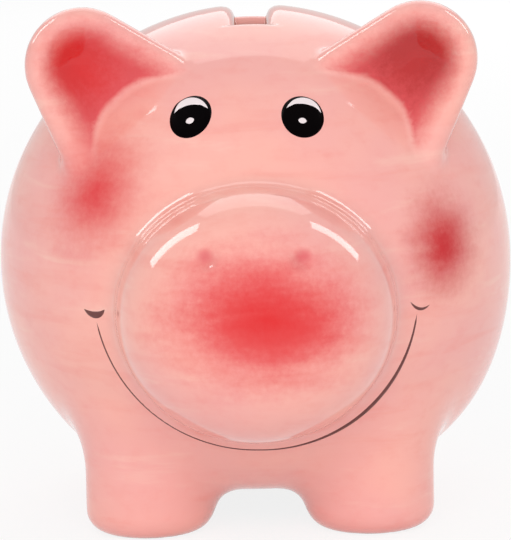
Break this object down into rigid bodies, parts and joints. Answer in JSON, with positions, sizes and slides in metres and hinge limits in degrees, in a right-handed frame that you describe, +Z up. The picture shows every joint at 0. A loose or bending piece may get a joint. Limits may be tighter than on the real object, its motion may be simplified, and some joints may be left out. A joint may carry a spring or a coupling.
{
  "type": "figural coin bank",
  "caption": "Hollow glazed ceramic pig money box with a coin slot in its back, a large snout, upright cupped ears, a curled tail and a pull-out rubber stopper in its belly.",
  "frame": {"origin": "on the table, under the middle of the whole pig's bounding box", "axes": "+Z up; the pig faces -Y, from snout to tail along Y; its left is +X"},
  "size_m": [0.0876, 0.114, 0.0881],
  "materials": {
    "pink_glaze": "gloss",
    "eye_enamel": "gloss",
    "stopper_rubber": "matte"
  },
  "bodies": {
    "bank": {"body_shell": "pink_glaze", "snout": "pink_glaze", "left_ear": "pink_glaze", "right_ear": "pink_glaze", "front_left_leg": "pink_glaze", "front_right_leg": "pink_glaze", "rear_left_leg": "pink_glaze", "rear_right_leg": "pink_glaze", "tail": "pink_glaze", "left_eye": "eye_enamel", "right_eye": "eye_enamel"},
    "stopper": {"stopper": "stopper_rubber"}
  },
  "joints": [
    {"name": "stopper_pull", "type": "slide", "parent": "bank", "child": "stopper", "axis": [0, 0, -1], "range_m": [0, 0.03]}
  ]
}
